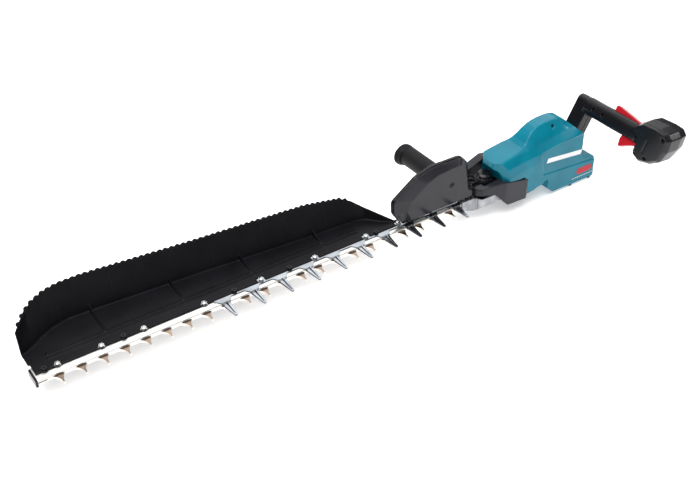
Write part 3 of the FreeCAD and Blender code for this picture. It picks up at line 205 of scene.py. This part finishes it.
nodeFinish = {
    "barSteel": ["guide_bar", "under_plate"],
    "bladeSteel": ["upper_shear_blade", "lower_shear_blade"],
    "combSteel": ["blunt_comb"],
    "zincSteel": ["blade_spacers", "blade_bolts", "blade_nuts", "gear_case_screws", "holder_bolts",
                  "trigger_pin", "trigger_spring", "lock_pin", "lock_spring", "crank_bearing_lower",
                  "crank_bearing_upper", "motor_bearing_lower", "motor_bearing_upper",
                  "terminal_contacts"],
    "blackOxide": ["receiver_screws", "housing_screws", "guard_screw", "front_handle_bolt", "handle_screws"],
    "castAluminium": ["gear_case_lower"],
    "paintedCasting": ["gear_case_upper"],
    "gearSteel": ["crank_shaft", "crank_gear", "idler_gear", "idler_pin", "motor_pinion", "motor_rotor",
                  "motor_stator"],
    "copperWire": ["stator_coils"],
    "blackNylon": ["blade_tip_cap", "crank_cap", "cooling_fan", "motor_controller", "underside_vent",
                   "battery_rail", "terminal_block", "guard_back_shell", "front_handle_core",
                   "rear_handle_front_half", "rear_handle_back_half", "end_guard_front",
                   "end_guard_back", "trigger_switch"],
    "scoopPlastic": ["chip_receiver"],
    "softElastomer": ["vent_plug", "rubber_feet", "front_grip"],
    "tealNylon": ["housing_right", "housing_left"],
    "greyNylon": ["guard_front_shell", "gear_cover", "gear_cover_left"],
    "redAcetal": ["trigger", "lock_lever"],
}


def paintNodes():
    for finish, names in nodeFinish.items():
        for name in names:
            mesh = frame["nodes"][name].data
            mesh.materials.clear()
            mesh.materials.append(finishes[finish])


paintNodes()
print("materials on every node")


bodyOf = {name: body for body, names in frame["record"]["behaviour"]["bodies"].items() for name in names}


def finishPiece(piece, nodes, finish):
    piece.data.materials.clear()
    piece.data.materials.append(finishes[finish])
    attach(piece, bodyOf[nodes[0]])
    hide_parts(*nodes)
    return piece


mergeMm = 0.01  # facet corners closer than this are one


def copyOf(nodes, name):
    joined = bmesh.new()
    for node in nodes:
        joined.from_mesh(frame["nodes"][node].data)
    bmesh.ops.remove_doubles(joined, verts=joined.verts, dist=mergeMm * mm)
    mesh = bpy.data.meshes.new(name)
    joined.to_mesh(mesh)
    joined.free()
    piece = bpy.data.objects.new(name, mesh)
    bpy.context.scene.collection.objects.link(piece)
    return piece


def applyModifiers(piece):
    bpy.context.view_layer.update()
    graph = bpy.context.evaluated_depsgraph_get()
    mesh = bpy.data.meshes.new_from_object(piece.evaluated_get(graph))
    piece.modifiers.clear()
    old = piece.data
    piece.data = mesh
    mesh.name = piece.name
    bpy.data.meshes.remove(old)


def shadeByAngle(piece, degrees):
    piece.data.polygons.foreach_set("use_smooth", [True] * len(piece.data.polygons))
    piece.data.set_sharp_from_angle(angle=math.radians(degrees))


# voxel skin, rounded by smoothing, then thinned where it is flat; a mouldings row gives
# nodes, finish, voxel size in mm, rounds of smoothing and the share of faces kept
def softMoulding(nodes, name, finish, voxelMm, rounds, keep):
    piece = copyOf(nodes, name)
    skin = piece.modifiers.new("skin", "REMESH")
    skin.mode = "VOXEL"
    skin.voxel_size = voxelMm * mm
    soften = piece.modifiers.new("soften", "SMOOTH")
    soften.factor = 0.5
    soften.iterations = rounds
    thin = piece.modifiers.new("thin", "DECIMATE")
    thin.ratio = keep
    applyModifiers(piece)
    shadeByAngle(piece, 40)
    print(name, len(piece.data.polygons), "faces")
    return finishPiece(piece, nodes, finish)


mouldings = {
    "chip_scoop": (["chip_receiver"], "scoopPlastic", 1.1, 3, 0.4),
    "teal_housing": (["housing_right", "housing_left"], "tealNylon", 1.0, 7, 0.35),
    "hand_guard_face": (["guard_front_shell"], "greyNylon", 0.9, 6, 0.5),
    "hand_guard_back": (["guard_back_shell"], "blackNylon", 0.9, 4, 0.5),
    "gear_cover_skin": (["gear_cover"], "greyNylon", 0.9, 3, 0.6),
    "gear_cover_left_skin": (["gear_cover_left"], "greyNylon", 0.9, 3, 0.6),
    "rear_handle_front_skin": (["rear_handle_front_half"], "blackNylon", 0.9, 3, 0.5),
    "rear_handle_back_skin": (["rear_handle_back_half"], "blackNylon", 0.9, 3, 0.5),
    "end_guard_front_skin": (["end_guard_front"], "blackNylon", 0.9, 6, 0.5),
    "end_guard_back_skin": (["end_guard_back"], "blackNylon", 1.0, 14, 0.5),
    "front_grip_sleeve": (["front_grip"], "softElastomer", 0.9, 3, 0.5),
    "trigger_lever": (["trigger"], "redAcetal", 0.5, 5, 0.6),
    "lock_lever_paddle": (["lock_lever"], "redAcetal", 0.5, 5, 0.6),
    "crank_cap_cover": (["crank_cap"], "blackNylon", 0.5, 5, 0.6),
    "gear_case_lower_casting": (["gear_case_lower"], "castAluminium", 0.8, 3, 0.6),
    "gear_case_upper_casting": (["gear_case_upper"], "paintedCasting", 0.8, 3, 0.6),
}
for pieceName, (nodes, finish, voxelMm, rounds, keep) in mouldings.items():
    softMoulding(nodes, pieceName, finish, voxelMm, rounds, keep)
print("mouldings done")


# flat cut steel: coplanar facets merged, then a narrow ground edge all round; a groundPieces
# row gives node, finish and edge width in mm
def groundEdges(node, name, finish, edgeMm):
    piece = copyOf([node], name)
    cleaned = bmesh.new()
    cleaned.from_mesh(piece.data)
    bmesh.ops.dissolve_limit(cleaned, angle_limit=math.radians(1.0), verts=cleaned.verts, edges=cleaned.edges)
    corners = [e for e in cleaned.edges if len(e.link_faces) == 2 and e.calc_face_angle(0) > math.radians(50)]
    bmesh.ops.bevel(cleaned, geom=corners, offset=edgeMm * mm, offset_type="OFFSET", segments=1, profile=0.5,
                    affect="EDGES", clamp_overlap=True, material=-1)
    cleaned.to_mesh(piece.data)
    cleaned.free()
    shadeByAngle(piece, 20)
    print(name, len(piece.data.polygons), "faces")
    return finishPiece(piece, [node], finish)


groundPieces = {
    "upper_blade_ground": ("upper_shear_blade", "bladeSteel", 0.8),
    "lower_blade_ground": ("lower_shear_blade", "bladeSteel", 0.8),
    "comb_pressing": ("blunt_comb", "combSteel", 0.5),
    "bar_strip": ("guide_bar", "barSteel", 0.35),
    "tip_cap": ("blade_tip_cap", "blackNylon", 0.4),
    "nuts_domed": ("blade_nuts", "zincSteel", 0.25),
}
for pieceName, (node, finish, edgeMm) in groundPieces.items():
    groundEdges(node, pieceName, finish, edgeMm)
print("ground edges done")


def addPiece(name, mesh, body, finish):
    data = bpy.data.meshes.new(name)
    mesh.to_mesh(data)
    mesh.free()
    piece = bpy.data.objects.new(name, data)
    bpy.context.scene.collection.objects.link(piece)
    data.materials.append(finishes[finish])
    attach(piece, body)
    return piece


printMm = 0.35  # how far a printed shape stands out


# thin printed shape on the right flank; corners are (x, z) in mm
def printedShape(mesh, corners, faceY):
    back = [mesh.verts.new((x * mm, faceY * mm, z * mm)) for x, z in corners]
    front = [mesh.verts.new((x * mm, (faceY - printMm) * mm, z * mm)) for x, z in corners]
    count = len(corners)
    mesh.faces.new(front)
    mesh.faces.new(list(reversed(back)))
    for i in range(count):
        j = (i + 1) % count
        mesh.faces.new([front[j], front[i], back[i], back[j]])


def pill(x, z, halfLong, halfHigh):
    corners = []
    for step in range(18):
        angle = math.radians(-90 + 180 / 17 * 2 * step)
        side = 1 if step < 9 else -1
        middleX = x + side * (halfLong - halfHigh)
        corners.append((middleX + halfHigh * math.cos(angle), z + halfHigh * math.sin(angle)))
    return corners


# y of the housing's right flank at a point, in mm, and 0.1 mm into the wall
def flankY(x, z):
    housing = bpy.data.objects["teal_housing"]
    _, spot, _, _ = housing.ray_cast(Vector((x * mm, -0.1, z * mm)), Vector((0, 1, 0)))
    return spot.y / mm + 0.1


marks = {"panelY": flankY(160, 57), "footY": flankY(215, 10), "dotStep": 4.6, "dotCount": 12}
print("marks", marks)


# generic marks only: a plain slanted bar, a plain pill and a row of dots
def makeMarks():
    bar = bmesh.new()
    printedShape(bar, [(117, 57), (203, 47.5), (206, 56.5), (120, 66)], marks["panelY"])
    for i in range(marks["dotCount"]):
        x = 189 + i * marks["dotStep"]
        printedShape(bar, [(x, -3.4), (x + 2.2, -3.4), (x + 2.2, -1.8), (x, -1.8)], marks["footY"])
    bmesh.ops.recalc_face_normals(bar, faces=bar.faces)
    addPiece("pale_marks", bar, "main", "whitePrint")
    badge = bmesh.new()
    printedShape(badge, pill(217.5, 10.0, 19.0, 6.5), marks["footY"])
    bmesh.ops.recalc_face_normals(badge, faces=badge.faces)
    addPiece("red_badge", badge, "main", "redPrint")


def boxInto(mesh, low, high):
    made = bmesh.ops.create_cube(mesh, size=1.0)["verts"]
    size = [b - a for a, b in zip(low, high)]
    middle = [(a + b) / 2 for a, b in zip(low, high)]
    bmesh.ops.scale(mesh, verts=made, vec=[v * mm for v in size])
    bmesh.ops.translate(mesh, verts=made, vec=[v * mm for v in middle])


ribSteps = {"firstX": -804.0, "endX": -264.0, "pitch": 3.4, "width": 1.5,
            "low": (24.9, 28.6), "high": (28.1, 29.9)}


# row of small cross bars on the scoop's wide inner rib
def makeRibSteps():
    steps = bmesh.new()
    x = ribSteps["firstX"]
    while x < ribSteps["endX"]:
        boxInto(steps, (x, *ribSteps["low"]), (x + ribSteps["width"], *ribSteps["high"]))
        x += ribSteps["pitch"]
    addPiece("scoop_rib_steps", steps, "main", "scoopPlastic")


wallRibX = (-760, -672, -545, -505, -415, -372, -300)


# shallow upright ribs on the inside of the scoop's wall
def makeWallRibs():
    wall = bpy.data.objects["chip_scoop"]
    ribs = bmesh.new()
    for x in wallRibX:
        spots = []
        for z in range(34, 72, 3):
            hit, spot, _, _ = wall.ray_cast(Vector((x * mm, 0.0, z * mm)), Vector((0, 1, 0)))
            if hit and spot.y > 0.03:
                spots.append(spot)
        for low, high in zip(spots, spots[1:]):
            corners = []
            for spot in (low, high):
                for across in (-0.7, 0.7):
                    for out in (-0.6, 0.5):
                        corners.append(ribs.verts.new((spot.x + across * mm, spot.y - out * mm, spot.z)))
            bmesh.ops.convex_hull(ribs, input=corners)
    addPiece("scoop_wall_ribs", ribs, "main", "scoopPlastic")


makeMarks()
makeRibSteps()
makeWallRibs()
print("marks and rib steps done")


studio = {
    "floor": "fbfbfb",
    "floorGlow": 0.42,
    "airStrength": 0.85,
    "cameraAt": (-1.0707, -1.1322, 1.0475),
    "yaw": 34.64,
    "down": 36.94,
    "lensMm": 52.95,
}


def makeFloor():
    low, high = cadBox
    grid = bmesh.new()
    bmesh.ops.create_grid(grid, x_segments=1, y_segments=1, size=6.0)
    bmesh.ops.translate(grid, verts=grid.verts, vec=(0, 0, low[2]))
    mesh = bpy.data.meshes.new("floor")
    grid.to_mesh(mesh)
    grid.free()
    floor = bpy.data.objects.new("floor", mesh)
    bpy.context.scene.collection.objects.link(floor)
    material, tree, output, place = startMaterial("paintedBoard")
    paper = addNode(tree, "ShaderNodeTexNoise", inputs={"Scale": perMetre(300.0)}, links={"Vector": place})
    tint = ramp(tree, paper.outputs["Fac"], [(0.3, colour("f4f4f4")), (0.7, colour(studio["floor"]))])
    shader = addNode(tree, "ShaderNodeBsdfPrincipled",
                     inputs={"Roughness": 0.9, "Emission Strength": studio["floorGlow"]},
                     links={"Base Color": tint.outputs["Color"], "Emission Color": tint.outputs["Color"]})
    tree.links.new(shader.outputs["BSDF"], output.inputs["Surface"])
    mesh.materials.append(material)


def addLamp(name, place, aim, size, power):
    data = bpy.data.lights.new(name, "AREA")
    data.shape = "DISK"
    data.size = size
    data.energy = power
    lamp = bpy.data.objects.new(name, data)
    lamp.location = place
    lamp.rotation_euler = (Vector(aim) - Vector(place)).to_track_quat("-Z", "Y").to_euler()
    bpy.context.scene.collection.objects.link(lamp)


def makeCamera():
    yaw = math.radians(studio["yaw"])
    down = math.radians(studio["down"])
    look = Vector((math.sin(yaw) * math.cos(down), math.cos(yaw) * math.cos(down), -math.sin(down)))
    data = bpy.data.cameras.new("camera")
    data.lens = studio["lensMm"]
    data.sensor_width = 36.0
    data.clip_start = 0.01
    camera = bpy.data.objects.new("camera", data)
    camera.location = studio["cameraAt"]
    camera.rotation_euler = look.to_track_quat("-Z", "Y").to_euler()
    bpy.context.scene.collection.objects.link(camera)
    bpy.context.scene.camera = camera


def makeSky():
    world = bpy.data.worlds.new("studioAir")
    world.use_nodes = True
    tree = world.node_tree
    background = tree.nodes["Background"]
    place = addNode(tree, "ShaderNodeTexCoord").outputs["Generated"]
    height = addNode(tree, "ShaderNodeSeparateXYZ", links={"Vector": place}).outputs["Z"]
    stops = [(0.0, (0.10, 0.10, 0.105, 1)), (0.35, (0.22, 0.22, 0.23, 1)), (0.9, (0.8, 0.8, 0.81, 1))]
    glow = ramp(tree, height, stops)
    tree.links.new(glow.outputs["Color"], background.inputs["Color"])
    background.inputs["Strength"].default_value = studio["airStrength"]
    bpy.context.scene.world = world


def addSun(name, direction, power, spreadDegrees):
    data = bpy.data.lights.new(name, "SUN")
    data.energy = power
    data.angle = math.radians(spreadDegrees)
    sun = bpy.data.objects.new(name, data)
    sun.rotation_euler = Vector(direction).to_track_quat("-Z", "Y").to_euler()
    bpy.context.scene.collection.objects.link(sun)


makeFloor()
makeSky()
makeCamera()
middle = (-0.25, 0, 0.05)
addSun("softKey", (0.30, 0.20, -1.0), 1.9, 45)
addLamp("topBox", (-0.7, 0.5, 1.7), middle, 0.9, 10)
addLamp("frontBox", (-1.5, -1.7, 1.2), middle, 0.5, 4)
addLamp("sideBox", (1.5, -1.0, 1.1), middle, 0.5, 5)
addLamp("backBox", (1.1, 1.9, 1.75), middle, 3.0, 27)
bpy.context.scene.view_settings.view_transform = "Standard"
print("stage, lights and camera")
